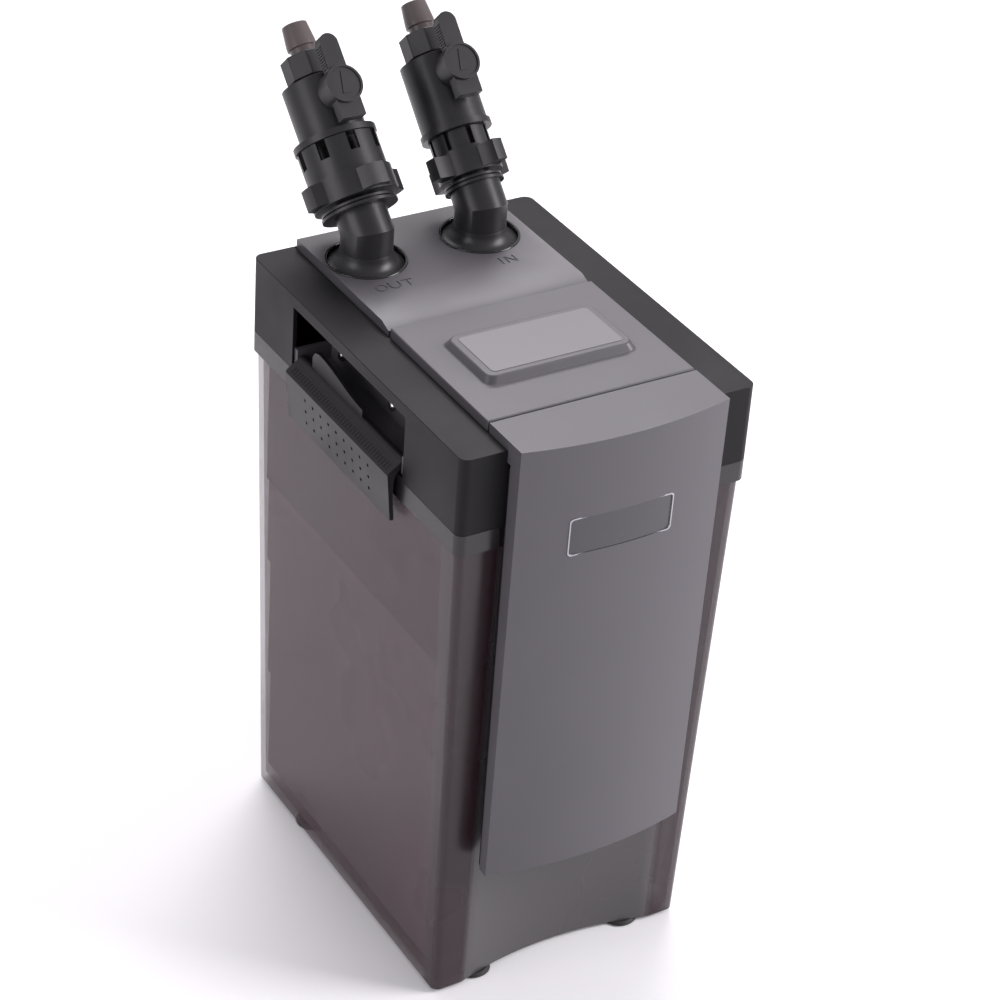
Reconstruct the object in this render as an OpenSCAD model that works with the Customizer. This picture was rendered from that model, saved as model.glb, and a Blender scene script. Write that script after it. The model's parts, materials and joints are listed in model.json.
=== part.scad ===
// Canister filter for an aquarium: a tinted tank with three media baskets, a pump head that
// lifts off, two side latches, and two swivelling shut-off valves for the hoses.
// Millimetres. +Z is up, the front cover faces -Y, and the feet stand on Z = 0.

/* [Tank] */
// Width of the tank under its collar, left to right
tank_w = 196; // [180:1:240]
// Depth of the tank under its collar, front to back
tank_d = 257; // [240:1:310]
// Height from the underside of the tank to the underside of its collar
tank_h = 340; // [320:1:420]
// Thickness of the tank's walls
tank_wall = 3; // [2:0.5:4]
// Thickness of the tank's floor
tank_floor = 4; // [3:0.5:8]
// How much each side wall comes in at the bottom
draft_x = 7; // [2:0.5:10]
// How much the front and the back wall come in at the bottom
draft_y = 5; // [2:0.5:8]
// Height of the tank's collar
collar_h = 14; // [12:0.5:20]
// How far the collar stands out past the tank's side walls
collar_out_x = 2; // [1:0.5:4]
// How far the collar stands out past the tank's front and back walls
collar_out_y = 2.5; // [1:0.5:4]
// Width of the curved hollow in the tank's front
hollow_w = 142; // [120:1:150]
// Depth of the curved hollow in the tank's front
hollow_depth = 10.5; // [6:0.5:12]
// Height of the rubber feet
foot_h = 3; // [2:0.5:6]
// Radius of the rubber feet
foot_r = 12; // [8:0.5:16]

/* [Head] */
// Height of the head's side wings above the parting line
wing_h = 51.5; // [46:0.5:64]
// Thickness of the head's walls
shell_wall = 3; // [2:0.5:4]
// Width of the raised covers along the middle of the head
strip_w = 141; // [130:1:150]
// How far the middle covers stand above the wings
strip_rise = 6; // [4:0.5:10]
// Depth of the rear deck, front to back
deck_d = 119; // [110:1:140]
// Depth of the motor cover, front to back
motor_cover_d = 115; // [104:1:122]
// Gap between neighbouring covers
cover_gap = 2; // [1:0.5:3]
// Height of the raised plate on the motor cover
label_h = 5; // [3:0.5:8]
// Width of the raised plate on the motor cover
label_w = 105; // [80:1:120]
// Depth of the raised plate on the motor cover, front to back
label_d = 56; // [40:1:70]
// How far the front panel's side edges stand out past the collar
panel_out = 13.5; // [12:0.5:18]
// How far the front panel bows out in its middle
panel_bow = 8.5; // [6:0.5:12]
// Height of the front panel's lower edge above the ground
panel_bottom = 104; // [60:1:160]
// Thickness of the front panel
panel_wall = 2.5; // [2:0.5:4]
// How many degrees the front panel leans in towards its lower edge
panel_lean = 0.6; // [0:0.1:1]
// Width of the blank badge
badge_w = 70; // [50:1:90]
// Height of the blank badge
badge_h = 25; // [15:1:35]

/* [Latches] */
// Length of the latch window in each wing
window_l = 140; // [120:1:160]
// Length of the latch lever
lever_l = 130; // [110:1:134]
// Radius of the latch pin
latch_pin_r = 2; // [1.5:0.1:2.5]

/* [Baskets] */
// Height of the top basket
basket_top_h = 61; // [50:1:75]
// Height of the middle basket
basket_mid_h = 90; // [60:1:100]
// Thickness of the basket walls
basket_wall = 2; // [1.5:0.5:3]
// Depth of the flow shroud under the head
shroud_h = 96; // [90:1:110]

/* [Pump] */
// Radius of the impeller shaft
shaft_r = 2; // [1.5:0.1:3]
// Radius of the rotor magnet
rotor_r = 12.5; // [11:0.5:13]
// Radius of the impeller
impeller_r = 22; // [18:0.5:24]
// Number of impeller blades
blade_count = 6; // [4:1:8]

/* [Valves] */
// Distance of the outlet port to the left of the middle
port_out_x = 43.3; // [40:0.1:46]
// Distance of the inlet port to the right of the middle
port_in_x = 37.6; // [36:0.1:46]
// Outer radius of the hose elbows
elbow_r = 16.5; // [14:0.5:18]
// Radius of the water way through elbows and pipes
way_r = 9.5; // [7:0.5:10]
// Turn of the outlet elbow about its port, in degrees
out_turn = 2; // [0:1:6]
// Largest radius of the hose barbs
barb_r = 9.5; // [8.5:0.5:12]
// Radius of the valve bodies
valve_r = 21.4; // [20:0.2:23]
// Length of the valve bodies above their flange
valve_top = 98; // [94:1:104]

/* [Hidden] */
$fn = 64;
hull_fn = 32;
eps = 0.01;
big = 600;

// clearances
running = 0.05;
slip = 0.3;
loose = 0.6;

// heights
z_tank = foot_h;
z_collar = z_tank + tank_h;
z_part = z_collar + collar_h;
z_wing = z_part + wing_h;
z_deck = z_wing + strip_rise;

// lid plan
lid_w = tank_w + 2 * collar_out_x;
lid_d = tank_d + 2 * collar_out_y;
corner_r = 6;
mouth_w = tank_w - 2 * tank_wall;
mouth_d = tank_d - 2 * tank_wall;
y_front = -lid_d / 2;
y_back = lid_d / 2;

// skirt of the head's base, and its seal
skirt_w = mouth_w - 1;
skirt_d = mouth_d - 1;
skirt_z = z_collar + 1;
seal_z = skirt_z + 3;
seal_h = 4;
seal_depth = 2.5;

// cable gland
gland_x = 56;
gland_z = z_part + 24;
gland_r = 6;

// port marks
mark_h = 8;
mark_t = 1.1;
mark_sink = 0.5;

// tank hollow
front_lean = atan(draft_y / tank_h);
hollow_r = (hollow_w * hollow_w / 4 + hollow_depth * hollow_depth) / (2 * hollow_depth);

// middle covers, from back to front
rebate_gap = 0.7;
deck_y1 = y_back - 2.2;
deck_y0 = deck_y1 - deck_d;
motor_y1 = deck_y0 - cover_gap;
motor_y0 = motor_y1 - motor_cover_d;
front_y1 = motor_y0 - cover_gap;
panel_y = y_front - panel_out;
panel_back_y = y_front - 3;
bow_r = (strip_w * strip_w / 4 + panel_bow * panel_bow) / (2 * panel_bow);
cover_skirt = 14;
cover_top = 3;
badge_z = z_part - 6;
badge_x = -2;
badge_sink = 1.2;

// latches
sill = 2;
window_top = 8;
window_y = 5;
hinge_x = lid_w / 2 - 4.5;
hinge_z = z_part + 7.5;
barrel_r = 4;
bracket_x = lid_w / 2 - 25.5;
bracket_h = 17;
hook_drop = hinge_z - z_collar + 2;
plate_bottom = 37;
hinge_bottom = -hinge_x + 4;

// baskets and shroud
basket_gap = 1;
basket_floor = 2.5;
z_floor = z_tank + tank_floor;
basket_stand = 7;
z_shroud = z_part - 14 - shroud_h;
basket_z2 = z_shroud - 2 - basket_top_h;
basket_z1 = basket_z2 - basket_gap - basket_mid_h;
basket_z0 = z_floor + basket_stand;
basket_bot_h = basket_z1 - basket_gap - basket_z0;
side_gap = 2;
media_gap = 4;
tube_r = way_r + 2.5 + loose;

// pump
pump_y = -40;
base_t = 3;
well_h = 42;
well_r = rotor_r + 1.8;
well_wall = 2.2;
chamber_r = impeller_r + 4;
chamber_h = 24;
blade_h = 11;
z_base = z_part + base_t;
z_chamber = z_part - chamber_h;
duct_z = z_part - 12.6;
shaft_z0 = z_chamber - 3;
shaft_z1 = z_base + well_h - 4;
core_x = 42;
core_leg = 18;
core_mid = 26;
core_h = 24;
core_z = z_base + 9;

// ports and valves
port_y = 88.5;
port_r = 26;
crease_z = z_deck + 19.5;
socket_top = z_deck - 6;
socket_h = 28;
spigot_end = 45;
spigot_r = way_r + 2.5;
knob_t = 84;
ball_r = 14;
knob_r = 12;
knob_h0 = valve_r + 0.6;
knob_h1 = 37;
stem_r = 4;
tip = valve_top + 39;
elbow_end = 12.5;
stop_end = 17;
skirt_r = 24;
elbow_down = crease_z - (socket_top - socket_h + 5) - 0.3;
socket_r = spigot_r + 3;
nut_z0 = 19;
nut_step = 35;
sleeve_out_r = 25.6;
sleeve_in_r = 19;
body_out_z = 57.8;
body_in_z = 48;
flange_out_r = 26.6;
flange_in_r = 23;

// outlet duct
duct_dx = -port_out_x;
duct_dy = port_y - pump_y;
duct_len = reach(duct_dx, duct_dy);
duct_turn = atan2(-duct_dx, duct_dy);
duct_r = way_r + 2.5;

// inner half width and half depth of the tank at height z
function inner_x(z) = tank_w / 2 - tank_wall - draft_x * (z_collar - z) / tank_h;
function inner_y(z) = tank_d / 2 - tank_wall - draft_y * (z_collar - z) / tank_h;
// front of a basket that stands at height z, behind the tank's hollow
function basket_front(z) = -inner_y(z) + hollow_depth + side_gap;
// distance between two points in plan
function reach(dx, dy) = sqrt(dx * dx + dy * dy);

module round_rect(w, d, r) {
    square([w - 2 * r, d], center = true);
    square([w, d - 2 * r], center = true);
    for (sx = [-1, 1], sy = [-1, 1])
        translate([sx * (w / 2 - r), sy * (d / 2 - r)])
            circle(r = r);
}

module slab(w, d, r, z, h) {
    translate([0, 0, z])
        linear_extrude(height = h)
            round_rect(w, d, r);
}

// rectangle in plan from corner (x0, y0) to corner (x1, y1), from height z0 to z1
module block(x0, x1, y0, y1, z0, z1) {
    translate([x0, y0, z0])
        cube([x1 - x0, y1 - y0, z1 - z0]);
}

// tapered rounded box between two heights
module tapered_box(w0, d0, w1, d1, r, z0, z1) {
    hull($fn = hull_fn) {
        slab(w0, d0, r, z0, eps, $fn = hull_fn);
        slab(w1, d1, r, z1 - eps, eps, $fn = hull_fn);
    }
}

// ---------------------------------------------------------------- tank

// the curved hollow in the tank's front, grown by extra, up to height z_top
module front_hollow(extra, z_top) {
    intersection() {
        translate([0, -(tank_d / 2 - draft_y), z_tank])
            rotate([front_lean, 0, 0])
                translate([0, hollow_depth - hollow_r, -20])
                    cylinder(r = hollow_r + extra, h = tank_h + 60, $fn = 200);
        block(-big, big, -big, big, -big, z_top);
    }
}

module tank() {
    color([0.36, 0.28, 0.30, 0.55])
        difference() {
            union() {
                tapered_box(tank_w - 2 * draft_x, tank_d - 2 * draft_y, tank_w, tank_d, 5,
                            z_tank, z_collar + 1);
                slab(lid_w, lid_d, corner_r, z_collar, collar_h);
            }
            difference() {
                tapered_box(2 * inner_x(z_floor), 2 * inner_y(z_floor), mouth_w, mouth_d, 3,
                            z_floor, z_collar + 1);
                front_hollow(tank_wall, z_collar);
            }
            slab(mouth_w, mouth_d, 3, z_collar, collar_h + 1);
            front_hollow(0, z_collar - tank_wall);
        }
}

module foot() {
    rotate_extrude()
        polygon([[0, 0], [foot_r - 1, 0], [foot_r, 1], [foot_r - 2, foot_h], [0, foot_h]]);
}

module feet() {
    color([0.2, 0.19, 0.19])
        for (sx = [-1, 1]) {
            translate([sx * (tank_w / 2 - draft_x - 35), -(tank_d / 2 - draft_y - 12.5), 0])
                foot();
            translate([sx * (tank_w / 2 - draft_x - foot_r), tank_d / 4, 0])
                foot();
        }
}

// ---------------------------------------------------------------- head

module base_opening(x, y, r) {
    translate([x, y, z_collar])
        cylinder(r = r, h = collar_h + base_t + 1);
}

module head_base() {
    plate_w = lid_w - 2 * shell_wall - 0.6;
    plate_d = lid_d - 2 * shell_wall - 0.6;
    color([0.16, 0.16, 0.17])
        difference() {
            union() {
                slab(plate_w, plate_d, corner_r - shell_wall, z_part, base_t);
                difference() {
                    slab(skirt_w, skirt_d, 2.5, skirt_z, z_part - skirt_z + 1);
                    slab(skirt_w - 9, skirt_d - 9, 2, skirt_z - 1, z_part - skirt_z + 1);
                }
                translate([0, pump_y, z_part])
                    cylinder(r = well_r + well_wall, h = base_t + well_h);
            }
            difference() {
                slab(skirt_w + 2, skirt_d + 2, 3, seal_z, seal_h);
                slab(skirt_w - 2 * seal_depth, skirt_d - 2 * seal_depth, 1.5, seal_z - 1, seal_h + 2);
            }
            translate([0, pump_y, z_part - 1])
                cylinder(r = well_r, h = base_t + well_h - 2);
            base_opening(-port_out_x, port_y, way_r + 2.5 + slip);
            base_opening(port_in_x, port_y, way_r + 2.5 + slip);
        }
}

module seal_ring() {
    seal_out = 0.2;
    color([0.75, 0.42, 0.2])
        difference() {
            slab(skirt_w + 2 * seal_out, skirt_d + 2 * seal_out, 2.7, seal_z, seal_h - 0.2);
            slab(skirt_w - 2 * seal_depth + 0.2, skirt_d - 2 * seal_depth + 0.2, 1.6, seal_z - 1, seal_h + 2);
        }
}

// one latch window, on the left
module window() {
    block(-lid_w / 2 - 1, -lid_w / 2 + shell_wall + 1, window_y - window_l / 2, window_y + window_l / 2,
          z_part + sill, z_wing - window_top);
}

module head_frame() {
    bay = strip_w / 2 + rebate_gap;
    inner_wall = bay - 3.5;
    color([0.13, 0.13, 0.14])
        difference() {
            slab(lid_w, lid_d, corner_r, z_part, wing_h);
            // room for the base plate
            block(-lid_w / 2 + shell_wall, lid_w / 2 - shell_wall, y_front + shell_wall, y_back - shell_wall,
                  z_part - 1, z_base);
            // middle bay for the motor and the pipes
            block(-inner_wall, inner_wall, y_front + shell_wall, y_back - shell_wall, z_part - 1, z_wing + 1);
            // rebate that the middle covers sit in
            block(-bay, bay, y_front - 1, deck_y1 + rebate_gap, z_deck - cover_skirt, z_wing + 1);
            // hollow wings
            for (s = [0, 1])
                mirror([s, 0, 0]) {
                    block(-lid_w / 2 + shell_wall, -bay, y_front + shell_wall, y_back - shell_wall,
                          z_part - 1, z_wing - shell_wall);
                    window();
                }
            // way out for the mains cable
            translate([gland_x, y_back - shell_wall - 1, gland_z])
                rotate([-90, 0, 0])
                    cylinder(r = gland_r + 0.1, h = shell_wall + 2);
        }
}

module cable_gland() {
    gland_out = 14;
    color([0.1, 0.1, 0.1])
        translate([gland_x, y_back, gland_z])
            rotate([-90, 0, 0])
                difference() {
                    union() {
                        translate([0, 0, -shell_wall - 5])
                            cylinder(r = gland_r, h = shell_wall + 6);
                        cylinder(r = gland_r + 3, h = 3);
                        translate([0, 0, -shell_wall - 5])
                            cylinder(r = gland_r + 3, h = 4.5);
                        translate([0, 0, 3])
                            cylinder(r1 = gland_r + 0.5, r2 = 4.5, h = gland_out - 3);
                    }
                    translate([0, 0, -shell_wall - 6])
                        cylinder(r = 3.2, h = gland_out + shell_wall + 8);
                }
}

// hollow cover open underneath, sitting in the rebate
module cover_box(y0, y1) {
    difference() {
        block(-strip_w / 2, strip_w / 2, y0, y1, z_deck - cover_skirt, z_deck);
        block(-strip_w / 2 + cover_top, strip_w / 2 - cover_top, y0 + cover_top, y1 - cover_top,
              z_deck - cover_skirt - 1, z_deck - cover_top);
    }
}

module letter_bar(x, y, w, h) {
    translate([x, y])
        square([w, h]);
}

module letter_arc(x, y, r) {
    translate([x, y])
        difference() {
            circle(r = r, $fn = 32);
            circle(r = r - mark_t, $fn = 32);
        }
}

module word_out() {
    r = mark_h / 2;
    letter_arc(-9, r, r);
    difference() {
        letter_arc(0.5, r, r);
        letter_bar(-4, r, 9, r + 1);
    }
    letter_bar(0.5 - r, r, mark_t, r);
    letter_bar(0.5 + r - mark_t, r, mark_t, r);
    letter_bar(6, mark_h - mark_t, 7.5, mark_t);
    letter_bar(9.75 - mark_t / 2, 0, mark_t, mark_h);
}

module word_in() {
    letter_bar(-6, 0, mark_t, mark_h);
    letter_bar(-2, 0, mark_t, mark_h);
    letter_bar(4, 0, mark_t, mark_h);
    polygon([[-2, mark_h], [-2 + mark_t * 1.4, mark_h], [4 + mark_t, 0], [4 + mark_t - mark_t * 1.4, 0]]);
}

module rear_deck() {
    lip_d = 8.5;
    lip_drop = 3;
    color([0.36, 0.36, 0.38])
        difference() {
            cover_box(deck_y0, deck_y1);
            for (x = [-port_out_x, port_in_x])
                translate([x, port_y, z_deck - cover_skirt - 1])
                    cylinder(r = port_r, h = cover_skirt + 2);
            // sloping front lip
            translate([-strip_w / 2 - 1, deck_y0, z_deck])
                rotate([90, 0, 90])
                    linear_extrude(height = strip_w + 2)
                        polygon([[-1, 1], [-1, -lip_drop], [0, -lip_drop], [lip_d, 0], [lip_d, 1]]);
            translate([-port_out_x, port_y - port_r - 14, z_deck - mark_sink])
                linear_extrude(height = 1)
                    word_out();
            translate([port_in_x, port_y - port_r - 14, z_deck - mark_sink])
                linear_extrude(height = 1)
                    word_in();
        }
}

module motor_cover() {
    label_y = (motor_y0 + motor_y1) / 2 + 2;
    color([0.36, 0.36, 0.38])
        union() {
            cover_box(motor_y0, motor_y1);
            translate([0, label_y, 0])
                tapered_box(label_w, label_d, label_w - 6, label_d - 6, 6, z_deck - 1, z_deck + label_h);
        }
}

// plan of the bowed front, from the line y = back to the bow, grown inwards by cut
module bow_plan(back, half, cut) {
    intersection() {
        translate([0, panel_y - panel_bow + bow_r])
            circle(r = bow_r - cut, $fn = 200);
        translate([-half, -big + back])
            square([2 * half, big]);
    }
}

// turns the upright panel in towards its lower edge, about its top edge
module lean_panel() {
    translate([0, panel_y, z_deck])
        rotate([panel_lean, 0, 0])
            translate([0, -panel_y, -z_deck])
                children();
}

// leaning bowed solid from height z0 to z1, from the line y = back to the bow, grown inwards by cut
module panel_solid(back, half, cut, z0, z1) {
    lean_panel()
        translate([0, 0, z0])
            linear_extrude(height = z1 - z0)
                bow_plan(back, half, cut);
}

module front_cover() {
    top_low = z_deck - cover_skirt;
    half = strip_w / 2;
    color([0.38, 0.38, 0.40])
        difference() {
            intersection() {
                union() {
                    difference() {
                        panel_solid(panel_back_y + 5, half + 5, 0, panel_bottom, z_deck + 10);
                        block(-big, big, panel_back_y, big, 0, top_low);
                    }
                    block(-half - 4, half + 4, panel_back_y + 1, front_y1, top_low, z_deck + 1);
                }
                block(-half, half, -big, big, 0, z_deck);
            }
            // hollow under the top
            block(-half + cover_top, half - cover_top, panel_back_y - 1, front_y1 - cover_top,
                  top_low - 1, z_deck - cover_top);
            // hollow behind the panel
            panel_solid(panel_back_y + 7, half - panel_wall, panel_wall,
                        panel_bottom + panel_wall, z_deck - cover_top - 1);
            badge_pocket(0);
        }
}

// a shallow pocket in the panel's face, or with play the plate that fills it
module badge_pocket(play) {
    lean_panel()
        intersection() {
            difference() {
                translate([0, panel_y - panel_bow + bow_r, 0])
                    cylinder(r = bow_r + 2 - play * 8, h = big, $fn = 200);
                translate([0, panel_y - panel_bow + bow_r, -1])
                    cylinder(r = bow_r - badge_sink, h = big + 2, $fn = 200);
            }
            translate([badge_x, panel_y, badge_z])
                rotate([90, 0, 0])
                    linear_extrude(height = 30, center = true)
                        round_rect(badge_w - play, badge_h - play, 2);
        }
}

module badge() {
    color([0.55, 0.55, 0.57])
        badge_pocket(0.3);
}

module panel_backing() {
    color([0.07, 0.07, 0.08])
        block(-strip_w / 2 + 1, strip_w / 2 - 1, panel_back_y, y_front - slip,
              panel_bottom + 2, z_wing - cover_skirt + 2);
}

// ---------------------------------------------------------------- ports and water ways

module port_ring(x) {
    rim_r = port_r - 1.5;
    color([0.3, 0.3, 0.32])
        translate([x, port_y, z_deck - 6])
            difference() {
                cylinder(r = port_r - 0.05, h = 6.8);
                translate([0, 0, 1.5])
                    cylinder(r = rim_r, h = 8);
                translate([0, 0, -1])
                    cylinder(r = elbow_r + 1, h = 8);
            }
}

// tube that takes the elbow's lower end and narrows to the pipe under it
module port_socket(x) {
    color([0.14, 0.14, 0.15])
        translate([x, port_y, socket_top - socket_h])
            difference() {
                union() {
                    cylinder(r = elbow_r + 4, h = socket_h - 0.1);
                    translate([0, 0, -8])
                        cylinder(r = way_r + 4.5, h = 9);
                }
                translate([0, 0, 5])
                    cylinder(r = elbow_r + running, h = socket_h);
                translate([0, 0, -1])
                    cylinder(r = way_r, h = socket_h);
                translate([0, 0, -9])
                    cylinder(r = way_r + 2.5, h = 9);
            }
}

module inlet_pipe() {
    z_end = z_floor + 14;
    color([0.15, 0.15, 0.16])
        translate([port_in_x, port_y, z_end])
            difference() {
                cylinder(r = way_r + 2.5, h = socket_top - socket_h - z_end);
                translate([0, 0, -1])
                    cylinder(r = way_r, h = big);
                // slots round the lower end let the water out
                for (a = [0 : 60 : 120])
                    rotate(a)
                        translate([-20, -2.5, -1])
                            cube([40, 5, 13]);
            }
}

// the pump's outlet: along under the base into a round pot, then up to the outlet port
module duct_run(r) {
    translate([0, pump_y, duct_z])
        rotate([0, 0, duct_turn])
            rotate([-90, 0, 0])
                translate([0, 0, chamber_r])
                    cylinder(r = r, h = duct_len - chamber_r);
}

module outlet_duct() {
    pot_r = duct_r + 2;
    pot_z = duct_z - duct_r - 1;
    color([0.15, 0.15, 0.16])
        difference() {
            union() {
                duct_run(duct_r);
                translate([-port_out_x, port_y, pot_z])
                    cylinder(r = pot_r, h = z_part - 0.1 - pot_z);
                translate([-port_out_x, port_y, duct_z])
                    cylinder(r = duct_r, h = socket_top - socket_h - duct_z);
            }
            duct_run(way_r);
            translate([-port_out_x, port_y, duct_z - way_r - 0.5])
                cylinder(r = pot_r - 2.5, h = 2 * way_r + 1);
            translate([-port_out_x, port_y, duct_z])
                cylinder(r = way_r, h = big);
            translate([0, pump_y, z_chamber - 1])
                cylinder(r = chamber_r + 3 + running, h = chamber_h + 2);
        }
}

module shroud_plan(cut, z) {
    x = inner_x(z) - side_gap - cut;
    y0 = basket_front(z) + cut;
    y1 = inner_y(z) - side_gap - cut;
    translate([-x, y0])
        square([2 * x, y1 - y0]);
}

module flow_shroud() {
    color([0.30, 0.30, 0.31])
        difference() {
            translate([0, 0, z_shroud])
                linear_extrude(height = skirt_z - z_shroud)
                    shroud_plan(0, z_shroud);
            translate([0, 0, z_shroud - 1])
                linear_extrude(height = skirt_z - z_shroud + 2)
                    shroud_plan(basket_wall, z_shroud);
            // seat for the rim of the top basket
            translate([0, 0, z_shroud - 1])
                linear_extrude(height = 4)
                    shroud_plan(1, z_shroud);
        }
}

// ---------------------------------------------------------------- pump

module pump_housing() {
    color([0.17, 0.17, 0.18])
        translate([0, pump_y, 0])
            difference() {
                translate([0, 0, z_chamber])
                    cylinder(r = chamber_r + 3, h = chamber_h);
                translate([0, 0, z_chamber - 1])
                    cylinder(r = chamber_r, h = chamber_h + 2);
                translate([0, 0, duct_z])
                    rotate([0, 0, duct_turn])
                        rotate([-90, 0, 0])
                            cylinder(r = way_r, h = chamber_r + 10);
            }
}

module pump_cover() {
    eye_r = 12;
    color([0.20, 0.20, 0.21])
        translate([0, pump_y, z_chamber - 3])
            difference() {
                union() {
                    cylinder(r = chamber_r + 3, h = 3);
                    translate([0, 0, -6])
                        cylinder(r = eye_r + 3, h = 7);
                }
                for (a = [0 : 120 : 240])
                    rotate(a)
                        translate([0, 0, -7])
                            rotate_extrude(angle = 96)
                                translate([5.5, 0])
                                    square([eye_r - 5.5, 12]);
                translate([0, 0, -2])
                    cylinder(r = 4 + running, h = 6);
            }
}

module impeller() {
    hub_r = 7;
    z0 = z_chamber + 3;
    z_top = z_part + 6;
    color([0.85, 0.85, 0.82])
        translate([0, pump_y, 0])
            difference() {
                union() {
                    translate([0, 0, z0])
                        cylinder(r = hub_r, h = blade_h);
                    translate([0, 0, z0 + blade_h - 1.5])
                        cylinder(r = impeller_r, h = 1.5);
                    translate([0, 0, z0 + blade_h - 1])
                        cylinder(r = 5, h = z_top - z0 - blade_h + 1);
                    for (i = [0 : blade_count - 1])
                        rotate(i * 360 / blade_count)
                            translate([5, -0.8, z0])
                                cube([impeller_r - 5.2, 1.6, blade_h]);
                }
                translate([0, 0, z0 - 1])
                    cylinder(r = shaft_r + running, h = big);
            }
}

module rotor_magnet() {
    color([0.25, 0.25, 0.27])
        translate([0, pump_y, z_part + 6])
            difference() {
                cylinder(r = rotor_r, h = well_h - 13);
                translate([0, 0, -1])
                    cylinder(r = shaft_r + running, h = well_h);
            }
}

module impeller_shaft() {
    color([0.9, 0.9, 0.88])
        translate([0, pump_y, shaft_z0])
            cylinder(r = shaft_r, h = shaft_z1 - shaft_z0);
}

module bush(z, h, r) {
    color([0.12, 0.12, 0.12])
        translate([0, pump_y, z])
            difference() {
                cylinder(r = r, h = h);
                translate([0, 0, -1])
                    cylinder(r = shaft_r, h = h + 2);
            }
}

module stator_core() {
    color([0.45, 0.45, 0.48])
        translate([0, pump_y, 0])
            difference() {
                union() {
                    block(-core_x, core_x, -core_leg, core_leg, core_z, core_z + core_h);
                    block(-20, 20, -core_mid, core_mid, core_z, core_z + core_h);
                }
                translate([0, 0, core_z - 1])
                    cylinder(r = well_r + well_wall + running, h = core_h + 2);
            }
}

module stator_coils() {
    color([0.72, 0.42, 0.2])
        translate([0, pump_y, 0])
            for (s = [0, 1])
                mirror([s, 0, 0])
                    difference() {
                        block(22, 38, -core_leg - 7, core_leg + 7, core_z - 6, core_z + core_h + 6);
                        block(21, 39, -core_leg - running, core_leg + running,
                              core_z - running, core_z + core_h + running);
                    }
}

module motor_can() {
    can_x = core_x + 4;
    can_y = core_mid + 4;
    can_top = z_base + well_h + 3;
    color([0.18, 0.18, 0.19])
        translate([0, pump_y, 0])
            difference() {
                block(-can_x, can_x, -can_y, can_y, z_base, can_top);
                block(-can_x + 2, can_x - 2, -can_y + 2, can_y - 2, z_base - 1, can_top - 2);
            }
}

// ---------------------------------------------------------------- latches, drawn on the left

// channel inside the wing that carries the latch pin in its two ears
module latch_bracket_shape() {
    y0 = window_y - window_l / 2;
    y1 = window_y + window_l / 2;
    ear = (window_l - lever_l) / 2 - 1;
    x_in = -bracket_x;
    pocket_y = y0 + 18;
    difference() {
        union() {
            block(x_in, x_in + 2.5, y0, y1, z_base, z_base + bracket_h);
            block(hinge_bottom, x_in + 2.5, y0, y1, z_base, z_base + 1);
            block(-hinge_x - 3, x_in + 2.5, y0, y0 + ear, z_base, z_base + bracket_h - 5);
            block(-hinge_x - 3, x_in + 2.5, y1 - ear, y1, z_base, z_base + bracket_h - 5);
        }
        translate([-hinge_x, y0 - 1, hinge_z])
            rotate([-90, 0, 0])
                cylinder(r = latch_pin_r, h = window_l + 2);
        block(x_in - 1, x_in + 4, pocket_y, pocket_y + 20, z_base + 3, z_base + bracket_h - 4);
    }
}

// side view of the lever: lip over the sill, and the plate that hangs outside
module lever_profile() {
    polygon([
        [-hinge_x, barrel_r + hinge_z],
        [-hinge_x - 6.5, hinge_z - 0.3],
        [-hinge_x - 10.5, hinge_z - 3.2],
        [-hinge_x - 11.5, hinge_z - 5],
        [-hinge_x - 8.4, hinge_z - plate_bottom],
        [-hinge_x - 5.8, hinge_z - plate_bottom],
        [-hinge_x - 8.4, hinge_z - 8.5],
        [-hinge_x - 3.4, hinge_z - 3.4],
        [-hinge_x, hinge_z - barrel_r]
    ]);
}

// side view of an end cheek, which closes the wedge between the lip and the plate
module cheek_profile() {
    polygon([
        [-hinge_x - 6, hinge_z - 4.6],
        [-hinge_x - 11.4, hinge_z - 5.4],
        [-hinge_x - 8.5, hinge_z - plate_bottom],
        [-hinge_x - 7, hinge_z - plate_bottom + 1],
        [-hinge_x - 7.2, hinge_z - 12]
    ]);
}

// side view of a hook: the arm, and the tooth that goes under the collar
module hook_profile() {
    polygon([
        [-hinge_x - 8, hinge_z - 9],
        [-hinge_x - 8.5, hinge_z - hook_drop - 6],
        [-hinge_x - 7.2, hinge_z - hook_drop - 7.5],
        [-hinge_x - 4.8, hinge_z - hook_drop - 2.6],
        [-hinge_x - 4.8, hinge_z - hook_drop - 0.6],
        [-hinge_x - 6.8, hinge_z - hook_drop + 1.2],
        [-hinge_x - 6.6, hinge_z - 11]
    ]);
}

// extrudes a side view (X, Z) along Y from y0 over length l
module along_y(y0, l) {
    translate([0, y0 + l, 0])
        rotate([90, 0, 0])
            linear_extrude(height = l)
                children();
}

// wave-topped tab that stands up behind the lip
module lever_tab() {
    y0 = window_y - 14;
    tab_l = 64;
    steps = 12;
    low = 9;
    high = 17;
    translate([-hinge_x - 1.2, 0, 0])
        rotate([90, 0, 90])
            linear_extrude(height = 2.4)
                polygon(concat(
                    [[y0 + tab_l, hinge_z], [y0, hinge_z]],
                    [for (i = [0 : steps])
                        [y0 + (tab_l - 8) * i / steps,
                         hinge_z + low + (high - low) * (1 - cos(180 * i / steps)) / 2]],
                    [[y0 + tab_l - 3, hinge_z + high - 1.5], [y0 + tab_l, hinge_z + high - 6]]
                ));
}

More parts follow.
